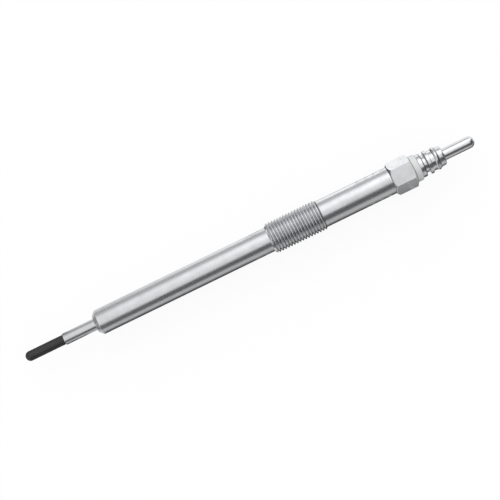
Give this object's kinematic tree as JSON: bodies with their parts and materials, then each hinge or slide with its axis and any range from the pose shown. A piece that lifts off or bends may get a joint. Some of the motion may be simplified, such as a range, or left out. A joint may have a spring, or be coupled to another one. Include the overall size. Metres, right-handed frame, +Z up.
{
  "type": "diesel glow plug",
  "caption": "Slim ceramic-tipped glow plug: dark heater rod, steel support tube, long turned body with fine thread and hexagon, and a round plug-in connector pin.",
  "frame": {"origin": "on the plug's axis, at the front face of the body's nose where the sealing cone starts", "axes": "+X along the plug's axis towards the connector pin, the heater rod points to -X; +Z up, square to the hexagon flat that lies underneath"},
  "size_m": [0.1557, 0.011, 0.01],
  "materials": {
    "plated_steel": "turned steel with a satin plating",
    "tube_steel": "drawn steel tube, ground smooth",
    "heater_ceramic": "ground sintered ceramic, dark grey and matte",
    "graphite": "pressed graphite",
    "white_ceramic": "fired ceramic, cream",
    "stud_steel": "cold-drawn steel",
    "seal_rubber": "moulded rubber",
    "washer_plastic": "moulded plastic, pale grey",
    "bright_nickel": "turned and brightly plated"
  },
  "bodies": {
    "root": {"housing": "plated_steel", "support_tube": "tube_steel", "heater_rod": "heater_ceramic", "contact_tablet": "graphite", "contact_sleeve": "white_ceramic", "terminal_stud": "stud_steel", "spacer_ring": "white_ceramic", "clamp_ring": "stud_steel", "seal_ring": "seal_rubber", "insulating_washer": "washer_plastic", "terminal_cap": "bright_nickel"}
  },
  "joints": []
}
